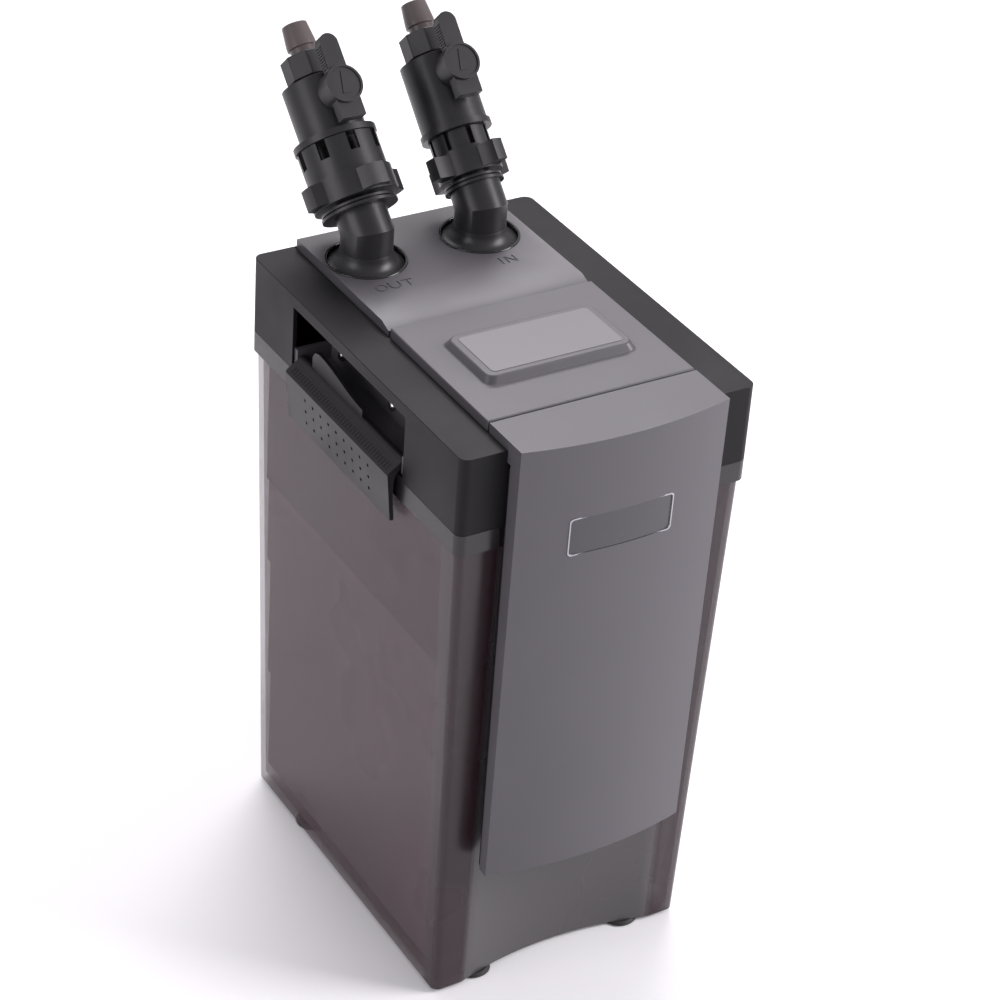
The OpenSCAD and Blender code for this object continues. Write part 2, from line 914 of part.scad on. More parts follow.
module latch_lever_shape() {
    y0 = window_y - lever_l / 2;
    hole_cols = 9;
    hole_rows = 3;
    col_pitch = 10;
    row_pitch = 8.2;
    cheek = 3;
    hook_w = 5;
    difference() {
        union() {
            along_y(y0, lever_l)
                lever_profile();
            translate([-hinge_x, y0, hinge_z])
                rotate([-90, 0, 0])
                    cylinder(r = barrel_r, h = lever_l);
            for (y = [y0, y0 + lever_l - cheek])
                along_y(y, cheek)
                    cheek_profile();
            for (y = [y0 + cheek + 4, y0 + lever_l - cheek - 4 - hook_w])
                along_y(y, hook_w)
                    hook_profile();
            lever_tab();
        }
        translate([-hinge_x, y0 - 1, hinge_z])
            rotate([-90, 0, 0])
                cylinder(r = latch_pin_r + running, h = lever_l + 2);
        for (i = [0 : hole_cols - 1], j = [0 : hole_rows - 1])
            translate([-hinge_x - 14, window_y - col_pitch * (hole_cols - 1) / 2 + col_pitch * i,
                       hinge_z - 12 - row_pitch * j])
                rotate([0, 90, 0])
                    cylinder(r = 1.1, h = 8, $fn = 16);
    }
}

module latch_pin_shape() {
    translate([-hinge_x, window_y - window_l / 2, hinge_z])
        rotate([-90, 0, 0])
            cylinder(r = latch_pin_r, h = window_l);
}

module on_side(s) {
    mirror([s, 0, 0])
        children();
}

module bay_screws() {
    head_r = 3.2;
    color([0.6, 0.6, 0.62])
        for (s = [0, 1], dy = [-56, -12, 52])
            on_side(s)
                translate([-bracket_x, window_y + dy, z_base + bracket_h - 7])
                    rotate([0, -90, 0])
                        difference() {
                            union() {
                                cylinder(r = head_r, h = 1.6);
                                translate([0, 0, 1.6])
                                    cylinder(r1 = head_r, r2 = head_r - 1, h = 0.8);
                            }
                            for (a = [0, 90])
                                rotate(a)
                                    translate([-2, -0.4, 1.4])
                                        cube([4, 0.8, 2]);
                        }
}

// ---------------------------------------------------------------- baskets and media

module basket_plan(z, cut) {
    x = inner_x(z) - side_gap - cut;
    y0 = basket_front(z) + cut;
    y1 = inner_y(z) - side_gap - cut;
    translate([-x, y0])
        square([2 * x, y1 - y0]);
}

// open tray with a slotted floor and a tube for the inlet pipe
module basket(z, h) {
    slot_w = 4;
    pitch_y = 8;
    x = inner_x(z) - side_gap;
    y0 = basket_front(z);
    y1 = inner_y(z) - side_gap;
    rows = floor((y1 - y0 - 16) / pitch_y);
    union() {
        translate([0, 0, z])
            linear_extrude(height = basket_floor)
                difference() {
                    basket_plan(z, 0);
                    for (i = [0 : rows - 1], k = [0 : 2])
                        translate([-x + 8 + k * (2 * x - 12) / 3, y0 + 8 + i * pitch_y])
                            square([(2 * x - 12) / 3 - 4, slot_w]);
                    translate([port_in_x, port_y])
                        circle(r = tube_r);
                }
        translate([0, 0, z])
            linear_extrude(height = h)
                difference() {
                    basket_plan(z, 0);
                    basket_plan(z, basket_wall);
                }
        translate([port_in_x, port_y, z])
            difference() {
                cylinder(r = tube_r + 2, h = h - 3);
                translate([0, 0, -1])
                    cylinder(r = tube_r, h = h + 2);
            }
        // side ribs carry the basket above
        for (sx = [-1, 1])
            translate([sx * (x - basket_wall - 1), (y0 + y1) / 2, z + (h + basket_gap) / 2])
                cube([3, 6, h + basket_gap], center = true);
    }
}

module basket_bottom() {
    color([0.22, 0.22, 0.24]) {
        basket(basket_z0, basket_bot_h);
        for (sx = [-1, 1], y = [basket_front(basket_z0) + 14, inner_y(basket_z0) - side_gap - 14])
            translate([sx * (inner_x(basket_z0) - 16), y, z_floor])
                cylinder(r = 6, h = basket_stand);
    }
}

module basket_middle() {
    color([0.22, 0.22, 0.24])
        basket(basket_z1, basket_mid_h);
}

module basket_top() {
    color([0.22, 0.22, 0.24])
        basket(basket_z2, basket_top_h);
}

module media_block(z, h) {
    translate([0, 0, z])
        linear_extrude(height = h)
            difference() {
                basket_plan(z, basket_wall + media_gap);
                translate([port_in_x, port_y])
                    circle(r = tube_r + 3);
            }
}

module coarse_sponge() {
    color([0.15, 0.25, 0.4])
        media_block(basket_z0 + basket_floor, basket_bot_h - 10);
}

module fine_pad() {
    color([0.9, 0.9, 0.88])
        media_block(basket_z2 + basket_floor, 30);
}

// bored bricks in two columns; the last one on the right is left out for the inlet pipe
module ceramic_blocks() {
    rows = 5;
    gap = 4;
    brick_h = basket_mid_h - basket_floor - 4;
    z = basket_z1 + basket_floor;
    y0 = basket_front(basket_z1) + basket_wall + gap;
    y1 = inner_y(basket_z1) - side_gap - basket_wall - gap;
    brick_w = inner_x(basket_z1) - side_gap - basket_wall - gap * 1.5 - 2;
    brick_d = (y1 - y0 - gap * (rows - 1)) / rows;
    color([0.88, 0.84, 0.78])
        for (side = [0, 1], row = [0 : rows - 1])
            if (side == 0 || row < rows - 1)
                translate([side == 0 ? -gap / 2 - brick_w : gap / 2, y0 + row * (brick_d + gap), z])
                    difference() {
                        cube([brick_w, brick_d, brick_h]);
                        for (i = [0 : 3], j = [0 : 1])
                            translate([brick_w * (2 * i + 1) / 8, brick_d * (2 * j + 1) / 4, -1])
                                cylinder(r = 6, h = brick_h + 2, $fn = 48);
                    }
}

// ---------------------------------------------------------------- elbows and valves

// moves the valve frame onto its port: its Z runs along the leaning axis, its -Y faces the knob
module at_valve(x, turn) {
    translate([x, port_y, crease_z])
        rotate([0, 0, turn])
            rotate([-45, 0, 0])
                children();
}

module at_port(x, turn) {
    translate([x, port_y, crease_z])
        rotate([0, 0, turn])
            children();
}

// everything above the plane that halves the elbow's bend
module above_mitre() {
    rotate([-22.5, 0, 0])
        block(-big, big, -big, big, 0, big);
}

// round bar with one 45 degree bend at the origin
module bent_bar(r, down, up) {
    difference() {
        translate([0, 0, -down])
            cylinder(r = r, h = down + 2 * r);
        above_mitre();
    }
    intersection() {
        rotate([-45, 0, 0])
            translate([0, 0, -2 * r])
                cylinder(r = r, h = up + 2 * r);
        above_mitre();
    }
}

module elbow_shape(stop_r) {
    difference() {
        union() {
            bent_bar(elbow_r, elbow_down, elbow_end);
            // flared skirt that hides the port
            rotate_extrude()
                polygon([
                    [elbow_r - 1, -11.5], [elbow_r + 0.2, -11.5], [17.2, -15], [18.6, -17.8], [21, -20],
                    [skirt_r, -21.3], [skirt_r, -22.3], [20.4, -21.4], [17.4, -19.4], [elbow_r - 1, -17]
                ]);
            rotate([-45, 0, 0]) {
                translate([0, 0, elbow_end - eps])
                    cylinder(r = stop_r, h = 1.8);
                translate([0, 0, elbow_end])
                    cylinder(r = stop_r - 3, h = stop_end - elbow_end);
                translate([0, 0, stop_end - 1.6])
                    cylinder(r = stop_r - 0.8, h = 1.6);
                translate([0, 0, stop_end - eps])
                    cylinder(r = spigot_r, h = spigot_end - stop_end);
            }
        }
        bent_bar(way_r, elbow_down + 5, spigot_end + 5);
        // groove for the sliding seal
        translate([0, 0, -elbow_down + 6])
            rotate_extrude()
                translate([elbow_r - 1.5, 0])
                    square([4, 2.6]);
    }
}

module elbow_seal_shape() {
    translate([0, 0, -elbow_down + 6.1])
        difference() {
            cylinder(r = elbow_r, h = 2.4);
            translate([0, 0, -1])
                cylinder(r = elbow_r - 1.4, h = 5);
        }
}

// disc with four lobes of radius lug_r, hollowed between them by circles of radius bow
module lobes(lug_r, nut_r, bow, h) {
    valley_r = nut_r - 3.5;
    difference() {
        cylinder(r = lug_r, h = h);
        for (a = [45 : 90 : 315])
            rotate(a)
                translate([bow + valley_r, 0, -1])
                    cylinder(r = bow, h = h + 2);
    }
}

// locking nut: slotted sleeve above, lobed ring below
module coupling_nut_shape(sleeve_r, body_z, lug_r, lug_turn, bow, slot_w) {
    slot_count = 8;
    slot_l = 11.5;
    slot_turn = 41;
    nut_r = sleeve_r + 1.8;
    nut_top = body_z - 0.4;
    difference() {
        union() {
            translate([0, 0, nut_step - 1])
                cylinder(r = sleeve_r, h = nut_top - nut_step + 1);
            translate([0, 0, nut_z0])
                cylinder(r = nut_r, h = nut_step - nut_z0);
            translate([0, 0, nut_z0 + 0.8])
                rotate(lug_turn)
                    lobes(lug_r, nut_r, bow, nut_step - nut_z0 - 2.4);
        }
        translate([0, 0, nut_z0 - 1])
            cylinder(r = socket_r + 0.1, h = 10);
        translate([0, 0, nut_z0 + 4])
            cylinder(r = sleeve_r - 2.8, h = big);
        for (i = [0 : slot_count - 1])
            rotate(i * 360 / slot_count + slot_turn)
                translate([0, -slot_w / 2, nut_top - slot_l])
                    cube([sleeve_r + 5, slot_w, slot_l + 1]);
    }
}

// valve body with its flange, the socket under it and the ball seat inside
module valve_body_shape(body_z, flange_r) {
    difference() {
        union() {
            translate([0, 0, body_z])
                cylinder(r = flange_r, h = 4);
            translate([0, 0, body_z + 3])
                cylinder(r = valve_r, h = valve_top - body_z - 3);
            translate([0, 0, nut_z0 + 0.5])
                cylinder(r = socket_r, h = body_z - nut_z0);
        }
        translate([0, 0, nut_z0])
            cylinder(r = spigot_r + 0.15, h = spigot_end - nut_z0 + 1);
        translate([0, 0, nut_z0])
            cylinder(r = way_r - 2, h = big);
        translate([0, 0, knob_t])
            sphere(r = ball_r + 0.2);
        translate([0, 0, knob_t])
            rotate([90, 0, 0])
                cylinder(r = stem_r + running, h = big);
    }
}

module valve_ball_shape() {
    difference() {
        translate([0, 0, knob_t])
            sphere(r = ball_r);
        translate([0, 0, knob_t - 20])
            cylinder(r = way_r - 2, h = 40);
        translate([-stem_r, -ball_r - 1, knob_t - 1.5])
            cube([2 * stem_r, 4, 3]);
    }
}

// knob with its stem, the lever arm along the valve and the short block under it
module valve_lever_shape() {
    arm_l = 33.5;
    arm_w = 12.5;
    arm_h0 = 27.3;
    tail_l = 21;
    difference() {
        union() {
            translate([0, 0, knob_t])
                rotate([90, 0, 0]) {
                    translate([0, 0, ball_r - 3])
                        intersection() {
                            cylinder(r = stem_r, h = knob_h0 - ball_r + 4);
                            union() {
                                block(-stem_r, stem_r, -1.4, 1.4, 0, 20);
                                block(-9, 9, -9, 9, 3.4, 20);
                            }
                        }
                    translate([0, 0, knob_h0])
                        cylinder(r = knob_r, h = knob_h1 - knob_h0);
                }
            // arm
            translate([-arm_w / 2, -knob_h1 + 2, knob_t])
                cube([arm_w, knob_h1 - 2 - arm_h0, arm_l - arm_w / 2]);
            translate([0, -arm_h0, knob_t + arm_l - arm_w / 2])
                rotate([90, 0, 0])
                    cylinder(r = arm_w / 2, h = knob_h1 - 2 - arm_h0);
            // tail
            translate([-8, -knob_h1 + 2, knob_t - tail_l])
                cube([16, knob_h1 - 2 - arm_h0, tail_l]);
        }
        // raised rim round the knob's face, and a flow arrow
        translate([0, -knob_h1 + 0.8, knob_t])
            rotate([90, 0, 0])
                difference() {
                    cylinder(r = knob_r - 1.4, h = 4);
                    linear_extrude(height = 0.5)
                        polygon([[-3, -6], [3, -6], [0, 8]]);
                }
    }
}

module hose_nut_shape() {
    translate([0, 0, valve_top + 2.5])
        difference() {
            rotate(22.5)
                cylinder(r = 16.6, h = 15.5, $fn = 8);
            translate([0, 0, -1])
                cylinder(r = barb_r - 1.4, h = 18);
        }
}

module hose_barb_shape() {
    neck_r = barb_r - 1.5;
    rim_z = valve_top + 23.5;
    difference() {
        union() {
            translate([0, 0, valve_top])
                cylinder(r = 14, h = 2.5);
            translate([0, 0, valve_top])
                cylinder(r = neck_r, h = rim_z - valve_top);
            translate([0, 0, rim_z])
                cylinder(r = barb_r, h = 3);
            translate([0, 0, rim_z + 3])
                cylinder(r1 = barb_r, r2 = barb_r - 1.4, h = tip - rim_z - 3);
        }
        translate([0, 0, valve_top - 1])
            cylinder(r = barb_r - 3.3, h = big);
    }
}

// ---------------------------------------------------------------- nodes

module elbow_out() {
    color([0.2, 0.2, 0.21])
        at_port(-port_out_x, out_turn)
            elbow_shape(24.6);
}

module elbow_in() {
    color([0.2, 0.2, 0.21])
        at_port(port_in_x, 0)
            elbow_shape(19.4);
}

module elbow_seal_out() {
    color([0.1, 0.1, 0.1])
        at_port(-port_out_x, out_turn)
            elbow_seal_shape();
}

module elbow_seal_in() {
    color([0.1, 0.1, 0.1])
        at_port(port_in_x, 0)
            elbow_seal_shape();
}

module coupling_nut_out() {
    color([0.2, 0.2, 0.21])
        at_valve(-port_out_x, out_turn)
            coupling_nut_shape(sleeve_out_r, body_out_z, 33, 6, 55, 6.5);
}

module coupling_nut_in() {
    color([0.2, 0.2, 0.21])
        at_valve(port_in_x, 0)
            coupling_nut_shape(sleeve_in_r, body_in_z, 31, 18, 28, 3.6);
}

module valve_body_out() {
    color([0.22, 0.22, 0.23])
        at_valve(-port_out_x, out_turn)
            valve_body_shape(body_out_z, flange_out_r);
}

module valve_body_in() {
    color([0.22, 0.22, 0.23])
        at_valve(port_in_x, 0)
            valve_body_shape(body_in_z, flange_in_r);
}

module valve_ball_out() {
    color([0.8, 0.8, 0.8])
        at_valve(-port_out_x, out_turn)
            valve_ball_shape();
}

module valve_ball_in() {
    color([0.8, 0.8, 0.8])
        at_valve(port_in_x, 0)
            valve_ball_shape();
}

module valve_lever_out() {
    color([0.25, 0.25, 0.26])
        at_valve(-port_out_x, out_turn)
            valve_lever_shape();
}

module valve_lever_in() {
    color([0.25, 0.25, 0.26])
        at_valve(port_in_x, 0)
            valve_lever_shape();
}

module hose_nut_out() {
    color([0.15, 0.15, 0.16])
        at_valve(-port_out_x, out_turn)
            hose_nut_shape();
}

module hose_nut_in() {
    color([0.15, 0.15, 0.16])
        at_valve(port_in_x, 0)
            hose_nut_shape();
}

module hose_barb_out() {
    color([0.25, 0.2, 0.2])
        at_valve(-port_out_x, out_turn)
            hose_barb_shape();
}

module hose_barb_in() {
    color([0.25, 0.2, 0.2])
        at_valve(port_in_x, 0)
            hose_barb_shape();
}

module latch_bracket() {
    color([0.3, 0.3, 0.31])
        latch_bracket_shape();
}

module latch_lever() {
    color([0.33, 0.33, 0.35])
        latch_lever_shape();
}

module latch_pin() {
    color([0.7, 0.7, 0.7])
        latch_pin_shape();
}

tank();
feet();
seal_ring();
head_base();
head_frame();
rear_deck();
motor_cover();
front_cover();
panel_backing();
badge();
port_ring(-port_out_x);  // port_ring_out
port_ring(port_in_x);  // port_ring_in
port_socket(-port_out_x);  // port_socket_out
port_socket(port_in_x);  // port_socket_in
inlet_pipe();
outlet_duct();
flow_shroud();
pump_housing();
pump_cover();
impeller();
rotor_magnet();
impeller_shaft();
bush(shaft_z1 - 4, 5, 6);  // bush_top
bush(z_chamber - 5, 4.5, 4);  // bush_bottom
stator_core();
stator_coils();
motor_can();
cable_gland();
latch_bracket();  // latch_bracket_left
on_side(1) latch_bracket();  // latch_bracket_right
latch_lever();  // latch_lever_left
on_side(1) latch_lever();  // latch_lever_right
latch_pin();  // latch_pin_left
on_side(1) latch_pin();  // latch_pin_right
bay_screws();
basket_bottom();
basket_middle();
basket_top();
coarse_sponge();
ceramic_blocks();
fine_pad();
elbow_out();
elbow_in();
elbow_seal_out();
elbow_seal_in();
coupling_nut_out();
coupling_nut_in();
valve_body_out();
valve_body_in();
valve_ball_out();
valve_ball_in();
valve_lever_out();
valve_lever_in();
hose_nut_out();
hose_nut_in();
hose_barb_out();
hose_barb_in();
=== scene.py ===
"""Looks of the canister filter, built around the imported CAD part. Metres, +Z up, front at -Y."""

import json
import math

import bmesh
import bpy
from mathutils import Matrix, Vector


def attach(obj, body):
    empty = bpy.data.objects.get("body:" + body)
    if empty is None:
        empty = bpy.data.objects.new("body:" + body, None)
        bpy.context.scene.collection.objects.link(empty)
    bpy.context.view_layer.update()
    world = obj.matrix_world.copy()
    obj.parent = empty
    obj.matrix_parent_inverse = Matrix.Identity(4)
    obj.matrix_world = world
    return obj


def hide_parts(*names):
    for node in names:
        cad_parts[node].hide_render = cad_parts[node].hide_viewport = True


# the tank's tint: how solid each zone looks, and the narrow bands where the zones meet
CLEAR_ALPHA = 0.45
COLUMN_ALPHA = 0.80
HOLLOW_ALPHA = 0.94
COLLAR_ALPHA = 0.98
HOLLOW_X = (0.068, 0.072)
FRONT_Y = (-0.112, -0.108)
COLLAR_Z = (0.3425, 0.3435)

# edges sharper than this, in radians, are rounded and shaded as edges
SHARP_ANGLE = 0.5
ROUNDING_STEPS = 2
WELD_GAP = 2e-6
FLAT_ANGLE = 0.01

# places on the part, in metres
PORT_Y = 0.0885
CREASE_Z = 0.434
PORTS = {"out": (-0.0433, 2.0), "in": (0.0376, 0.0)}
ELBOW_LEAN = -45
DECK_Z = 0.4145
LETTER_Z = (0.41380, 0.41448)
LETTER_Y = (0.045, 0.060)
LABEL_TOP = DECK_Z + 0.005
LABEL_Y = -0.0477
LABEL_SIZE = (0.090, 0.042, 0.003)
LABEL_THICK = 0.0003
LABEL_SUNK = 0.0001
HINGE_X = 0.0955
HINGE_Z = 0.3645
LATCH_Y = 0.005
TAB_Z = 0.3688
RIB_COUNT = 41
RIB_PITCH = 0.003
KNURL_COUNT = 9
KNURL_PITCH = 0.0017
KNURL_START = 0.0965
KNURL_SIZE = (0.00055, 0.0033, 0.0006)
BAR_TAPER = 0.55
BAR_FACES = ((0, 1, 3, 2), (4, 6, 7, 5), (0, 4, 5, 1), (2, 3, 7, 6), (0, 2, 6, 4), (1, 5, 7, 3))
PANEL_Y = -0.1445
PANEL_BOW = 0.0085
PANEL_HALF = 0.0705
PANEL_LEAN = math.radians(0.6)
BADGE_X = -0.002
BADGE_Z = 0.351
BADGE_HALF = (0.0356, 0.0131)
BADGE_CORNER = 0.0026
BADGE_SECTION = ((0.0, -0.0002), (0.0001, 0.0004), (0.0009, 0.0004), (0.0011, -0.0004))
FLOOR_HALF = 6

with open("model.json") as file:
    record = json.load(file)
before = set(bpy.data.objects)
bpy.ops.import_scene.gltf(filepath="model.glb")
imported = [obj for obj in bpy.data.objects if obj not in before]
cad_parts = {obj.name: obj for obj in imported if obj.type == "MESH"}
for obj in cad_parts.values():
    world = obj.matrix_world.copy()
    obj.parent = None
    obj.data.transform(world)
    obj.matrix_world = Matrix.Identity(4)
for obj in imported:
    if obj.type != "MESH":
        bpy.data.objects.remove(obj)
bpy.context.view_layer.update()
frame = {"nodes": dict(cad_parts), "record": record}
scene = bpy.context.scene


# ---------------------------------------------------------------- camera, floor and light

def add_camera():
    data = bpy.data.cameras.new("camera")
    data.sensor_width = 36.0
    data.lens = 108.6
    data.clip_end = 20.0
    camera = bpy.data.objects.new("camera", data)
    camera.location = (-0.8521, -1.3361, 1.3126)
    camera.rotation_euler = (0.9912, -0.0628, -0.5324)
    scene.collection.objects.link(camera)
    scene.camera = camera


def add_area(name, place, target, size, power, color):
    data = bpy.data.lights.new(name, "AREA")
    data.shape = "RECTANGLE"
    data.size, data.size_y = size
    data.energy = power
    data.color = color
    lamp = bpy.data.objects.new(name, data)
    lamp.location = place
    lamp.rotation_euler = (Vector(target) - Vector(place)).to_track_quat("-Z", "Y").to_euler()
    scene.collection.objects.link(lamp)


def add_studio():
    world = bpy.data.worlds.new("studio")
    world.use_nodes = True
    backdrop = world.node_tree.nodes["Background"].inputs
    backdrop["Color"].default_value = (0.95, 0.92, 0.97, 1)
    backdrop["Strength"].default_value = 0.50
    scene.world = world
    centre = (0, 0, 0.25)
    add_area("key", (1.9, -1.3, 1.4), centre, (1.2, 1.6), 76, (1.0, 0.965, 1.0))
    add_area("top", (0.5, 1.3, 2.2), centre, (1.8, 1.4), 54, (1.0, 0.97, 1.0))
    add_area("fill", (-2.1, -0.3, 0.9), centre, (1.2, 1.6), 19, (1.0, 0.96, 1.0))
    scene.view_settings.view_transform = "Standard"


# ---------------------------------------------------------------- materials

def node_material(name):
    material = bpy.data.materials.new(name)
    material.use_nodes = True
    tree = material.node_tree
    return material, tree.nodes, tree.links, tree.nodes["Principled BSDF"]


def noise(nodes, links, coords, scale, detail=2.0, distort=0.0):
    node = nodes.new("ShaderNodeTexNoise")
    node.inputs["Scale"].default_value = scale
    node.inputs["Detail"].default_value = detail
    node.inputs["Distortion"].default_value = distort
    links.new(coords, node.inputs["Vector"])
    return node.outputs["Fac"]


def ramp(nodes, links, value, low, high, start=0.35, end=0.65):
    node = nodes.new("ShaderNodeMapRange")
    node.inputs["From Min"].default_value = start
    node.inputs["From Max"].default_value = end
    node.inputs["To Min"].default_value = low
    node.inputs["To Max"].default_value = high
    links.new(value, node.inputs["Value"])
    return node.outputs["Result"]


def color_mix(nodes, links, factor, dark, light):
    node = nodes.new("ShaderNodeMix")
    node.data_type = "RGBA"
    node.inputs["A"].default_value = (*dark, 1)
    node.inputs["B"].default_value = (*light, 1)
    links.new(factor, node.inputs["Factor"])
    return node.outputs["Result"]


def bump(nodes, links, height, strength, distance):
    node = nodes.new("ShaderNodeBump")
    node.inputs["Strength"].default_value = strength
    node.inputs["Distance"].default_value = distance
    links.new(height, node.inputs["Height"])
    return node.outputs["Normal"]


def plastic(name, color, rough, grain, depth, strength, vary,
            rough_vary=0.05, metallic=0.0, coat=0.0, specular=0.5):
    """Moulded plastic, rubber or metal: fine grain in the normal, drift in colour and gloss."""
    material, nodes, links, shader = node_material(name)
    coords = nodes.new("ShaderNodeTexCoord").outputs["Object"]
    drift = noise(nodes, links, coords, 14, 3)
    speck = noise(nodes, links, coords, grain, 3)
    dark = tuple(c * (1 - vary) for c in color)
    light = tuple(min(1, c * (1 + vary)) for c in color)
    blend = nodes.new("ShaderNodeMath")
    blend.operation = "MULTIPLY_ADD"
    links.new(speck, blend.inputs[0])
    blend.inputs[1].default_value = 0.45
    links.new(ramp(nodes, links, drift, 0.0, 0.55), blend.inputs[2])
    tone = color_mix(nodes, links, blend.outputs[0], dark, light)
    gloss = ramp(nodes, links, drift, rough - rough_vary, rough + rough_vary)
    links.new(tone, shader.inputs["Base Color"])
    links.new(gloss, shader.inputs["Roughness"])
    links.new(bump(nodes, links, speck, strength, depth), shader.inputs["Normal"])
    shader.inputs["Metallic"].default_value = metallic
    shader.inputs["Coat Weight"].default_value = coat
    shader.inputs["Coat Roughness"].default_value = 0.12
    shader.inputs["Specular IOR Level"].default_value = specular
    return material


def foam(name, dark, light, cell, depth, thin=False):
    """Open foam or matted fibre, with dark pores."""
    material, nodes, links, shader = node_material(name)
    coords = nodes.new("ShaderNodeTexCoord").outputs["Object"]
    pores = nodes.new("ShaderNodeTexVoronoi")
    pores.inputs["Scale"].default_value = cell
    links.new(coords, pores.inputs["Vector"])
    fibre = noise(nodes, links, coords, cell * 2.2, 5, 1.6 if thin else 0.3)
    mask = ramp(nodes, links, fibre if thin else pores.outputs["Distance"], 0, 1, 0.25, 0.7)
    links.new(color_mix(nodes, links, mask, dark, light), shader.inputs["Base Color"])
    links.new(bump(nodes, links, mask, 0.8, depth), shader.inputs["Normal"])
    shader.inputs["Roughness"].default_value = 0.95
    shader.inputs["Sheen Weight"].default_value = 0.3
    return material


def tint_over(nodes, links, factor, under, color):
    """The colour under, with a plain colour laid over it where factor is 1."""
    node = nodes.new("ShaderNodeMix")
    node.data_type = "RGBA"
    links.new(factor, node.inputs["Factor"])
    links.new(under, node.inputs["A"])
    node.inputs["B"].default_value = (*color, 1)
    return node.outputs["Result"]


def math_node(nodes, links, operation, *values):
    node = nodes.new("ShaderNodeMath")
    node.operation = operation
    for i, value in enumerate(values):
        links.new(value, node.inputs[i])
    return node.outputs[0]


def tinted_tank(name):
    """Smoked see-through plastic: black collar, grey front hollow, brown elsewhere."""
    material, nodes, links, shader = node_material(name)
    coords = nodes.new("ShaderNodeTexCoord").outputs["Object"]
    split = nodes.new("ShaderNodeSeparateXYZ")
    links.new(coords, split.inputs["Vector"])
    drift = noise(nodes, links, coords, 9, 3)
    speck = noise(nodes, links, coords, 700, 2)
    across = math_node(nodes, links, "ABSOLUTE", split.outputs["X"])
    inside = ramp(nodes, links, across, 1, 0, *HOLLOW_X)
    front = ramp(nodes, links, split.outputs["Y"], 1, 0, *FRONT_Y)
    high = ramp(nodes, links, split.outputs["Z"], 0, 1, *COLLAR_Z)
    hollow = math_node(nodes, links, "MULTIPLY", inside, front)
    tint = color_mix(nodes, links, ramp(nodes, links, drift, 0, 1),
                     (0.060, 0.032, 0.039), (0.070, 0.038, 0.046))
    tint = tint_over(nodes, links, front, tint, (0.030, 0.016, 0.020))
    tint = tint_over(nodes, links, hollow, tint, (0.070, 0.065, 0.069))
    tint = tint_over(nodes, links, high, tint, (0.008, 0.006, 0.007))
    links.new(tint, shader.inputs["Base Color"])
    veil = ramp(nodes, links, hollow, CLEAR_ALPHA, HOLLOW_ALPHA, 0, 1)
    for zone, solidity in ((high, COLLAR_ALPHA), (front, COLUMN_ALPHA)):
        other = ramp(nodes, links, zone, CLEAR_ALPHA, solidity, 0, 1)
        veil = math_node(nodes, links, "MAXIMUM", veil, other)
    links.new(veil, shader.inputs["Alpha"])
    links.new(ramp(nodes, links, drift, 0.2, 0.3), shader.inputs["Roughness"])
    links.new(bump(nodes, links, speck, 0.02, 0.000005), shader.inputs["Normal"])
    shader.inputs["Specular IOR Level"].default_value = 0.5
    return material


# name: colour, roughness, grain scale, bump depth, bump strength, colour variation, extras
PLASTICS = {
    "rubber_dark": ((0.012, 0.011, 0.011), 0.72, 1500, 0.00008, 0.4, 0.15, {}),
    "seal_rubber": ((0.35, 0.10, 0.04), 0.5, 900, 0.00004, 0.25, 0.1, {}),
    "head_black": ((0.0080, 0.0073, 0.0086), 0.44, 1300, 0.00009, 0.5, 0.12,
                   {"rough_vary": 0.06, "specular": 0.15}),
    "cover_grey": ((0.072, 0.0675, 0.076), 0.40, 1500, 0.00007, 0.4, 0.07,
                   {"rough_vary": 0.04, "specular": 0.45}),
    "trim_black": ((0.010, 0.010, 0.011), 0.16, 700, 0.00002, 0.15, 0.1,
                   {"rough_vary": 0.03, "coat": 0.4}),
    "badge_metal": ((0.045, 0.043, 0.048), 0.30, 1800, 0.00003, 0.2, 0.1, {"rough_vary": 0.05}),
    "basket_grey": ((0.24, 0.205, 0.225), 0.6, 900, 0.00001, 0.1, 0.05, {}),
    "shroud_grey": ((0.115, 0.112, 0.122), 0.6, 900, 0.00001, 0.1, 0.05, {}),
    "ceramic": ((0.62, 0.55, 0.45), 0.85, 700, 0.0003, 0.8, 0.18, {}),
    "magnet": ((0.05, 0.05, 0.055), 0.4, 900, 0.00004, 0.25, 0.12, {"metallic": 0.4}),
    "steel": ((0.45, 0.45, 0.47), 0.28, 1400, 0.00003, 0.25, 0.08, {"metallic": 1.0}),
    "copper": ((0.62, 0.24, 0.08), 0.35, 1600, 0.0001, 0.6, 0.15, {"metallic": 0.9}),
    "shaft_ceramic": ((0.78, 0.76, 0.70), 0.22, 900, 0.00002, 0.15, 0.04, {}),
    "impeller_white": ((0.66, 0.66, 0.62), 0.4, 900, 0.00003, 0.2, 0.05, {}),
    "valve_grey": ((0.0165, 0.0160, 0.0180), 0.38, 1300, 0.00007, 0.4, 0.1,
                   {"rough_vary": 0.05, "specular": 0.38}),
    "barb_brown": ((0.085, 0.070, 0.068), 0.34, 1000, 0.00004, 0.3, 0.14, {"specular": 0.4}),
    "tab_grey": ((0.055, 0.052, 0.058), 0.42, 1300, 0.00007, 0.4, 0.08, {"rough_vary": 0.04}),
    "lever_black": ((0.0135, 0.0125, 0.0146), 0.46, 1300, 0.00009, 0.5, 0.12,
                    {"rough_vary": 0.06, "specular": 0.32}),
    # painted shade: near-black colour laid on the faces inside the engraved letters of the rear
    # deck, in place of the shade in the deep strokes
    "letter_painted_shade": ((0.014, 0.013, 0.015), 0.5, 900, 0.00003, 0.2, 0.1, {"specular": 0.2}),
    "label": ((0.120, 0.114, 0.123), 0.33, 700, 0.00002, 0.15, 0.05, {"rough_vary": 0.03}),
    "rim_metal": ((0.36, 0.36, 0.38), 0.25, 1500, 0.00002, 0.15, 0.06,
                  {"rough_vary": 0.04, "metallic": 0.8}),
    "floor": ((0.86, 0.86, 0.87), 0.6, 60, 0.0001, 0.1, 0.01, {"rough_vary": 0.03}),
}


